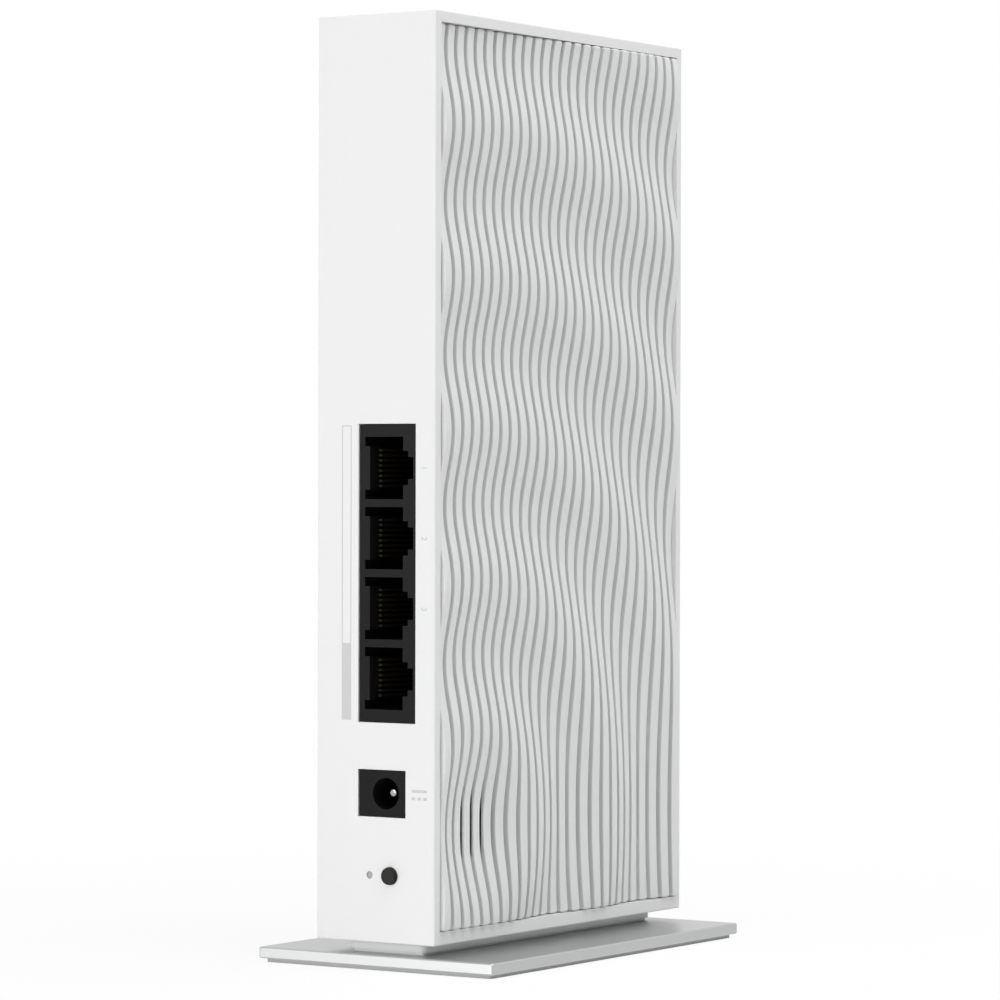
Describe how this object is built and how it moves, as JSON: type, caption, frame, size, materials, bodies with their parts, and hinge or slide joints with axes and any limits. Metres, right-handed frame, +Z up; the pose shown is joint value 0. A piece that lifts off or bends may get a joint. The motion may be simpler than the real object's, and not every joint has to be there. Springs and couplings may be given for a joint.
{
  "type": "mesh wifi node",
  "caption": "Slim upright mesh wifi node on a flat metal stand, with rippled ribbed sides and a column of network sockets.",
  "frame": {"origin": "centre of the footprint, on the surface that the node stands on", "axes": "+Z up along the tall case, +Y out of the narrow rear face with the sockets, +X across the slim case"},
  "size_m": [0.0566, 0.0959, 0.1906],
  "materials": {
    "white_plastic": "satin moulded shell",
    "rib_plastic": "satin moulded ribs",
    "neck_plastic": "satin pedestal",
    "plate_aluminium": "bead-blasted, clear anodised",
    "mat_rubber": "matt light grey",
    "screw_steel": "zinc plated",
    "board_laminate": "green solder mask",
    "black_plastic": "moulded socket body",
    "button_plastic": "fine textured cap",
    "contact_gold": "gold flash",
    "pin_chrome": "nickel plated",
    "pin_grey": "light grey actuator",
    "can_tin": "tin plated can",
    "chip_black": "moulded package",
    "ferrite_grey": "moulded coil",
    "capacitor_sleeve": "shrink sleeve",
    "pad_silicone": "soft thermal pad",
    "sink_aluminium": "extruded, mill finish",
    "aerial_laminate": "black laminate",
    "lead_jacket": "coaxial lead jacket",
    "light_clear": "clear acrylic",
    "led_resin": "lamp resin"
  },
  "bodies": {
    "housing": {"foot_mat": "mat_rubber", "base_plate": "plate_aluminium", "neck": "neck_plastic", "stand_screws": "screw_steel", "case_frame": "white_plastic", "wave_panel_left": "rib_plastic", "wave_panel_right": "rib_plastic", "main_board": "board_laminate", "board_screws": "screw_steel", "lan_jack_housing": "black_plastic", "lan_jack_contacts": "contact_gold", "lan_transformers": "chip_black", "dc_jack_housing": "black_plastic", "dc_jack_pin": "pin_chrome", "dc_jack_spring": "pin_chrome", "pairing_switch_body": "chip_black", "pairing_switch_bracket": "can_tin", "reset_switch_body": "chip_black", "light_pipe": "light_clear", "status_led": "led_resin", "main_can_fence": "can_tin", "main_can_lid": "can_tin", "radio_can_fence_1": "can_tin", "radio_can_lid_1": "can_tin", "radio_can_fence_2": "can_tin", "radio_can_lid_2": "can_tin", "processor": "chip_black", "memory_chips": "chip_black", "flash_chip": "chip_black", "radio_chips": "chip_black", "radio_amplifiers": "chip_black", "switch_chip": "chip_black", "power_coils": "ferrite_grey", "power_capacitors": "capacitor_sleeve", "crystals": "can_tin", "main_thermal_pad": "pad_silicone", "rear_thermal_pad": "pad_silicone", "heat_sink": "sink_aluminium", "heat_spreader": "sink_aluminium", "clamp_screws": "screw_steel", "front_aerial_lower": "aerial_laminate", "front_aerial_upper": "aerial_laminate", "top_aerial_front": "aerial_laminate", "top_aerial_rear": "aerial_laminate", "aerial_lead_1": "lead_jacket", "aerial_lead_2": "lead_jacket", "aerial_lead_3": "lead_jacket", "aerial_lead_4": "lead_jacket", "aerial_sockets": "contact_gold", "aerial_plugs": "contact_gold"},
    "pairing_button": {"pairing_button": "button_plastic", "pairing_switch_plunger": "pin_grey"},
    "reset_pin": {"reset_pin": "pin_grey"}
  },
  "joints": [
    {"name": "pairing_button_press", "type": "slide", "parent": "housing", "child": "pairing_button", "axis": [0, -1, 0], "range_m": [0, 0.0005], "stiffness_N_per_m": 800, "springref_m": -0.0008},
    {"name": "reset_pin_press", "type": "slide", "parent": "housing", "child": "reset_pin", "axis": [0, -1, 0], "range_m": [0, 0.0003], "stiffness_N_per_m": 800, "springref_m": -0.0008}
  ]
}
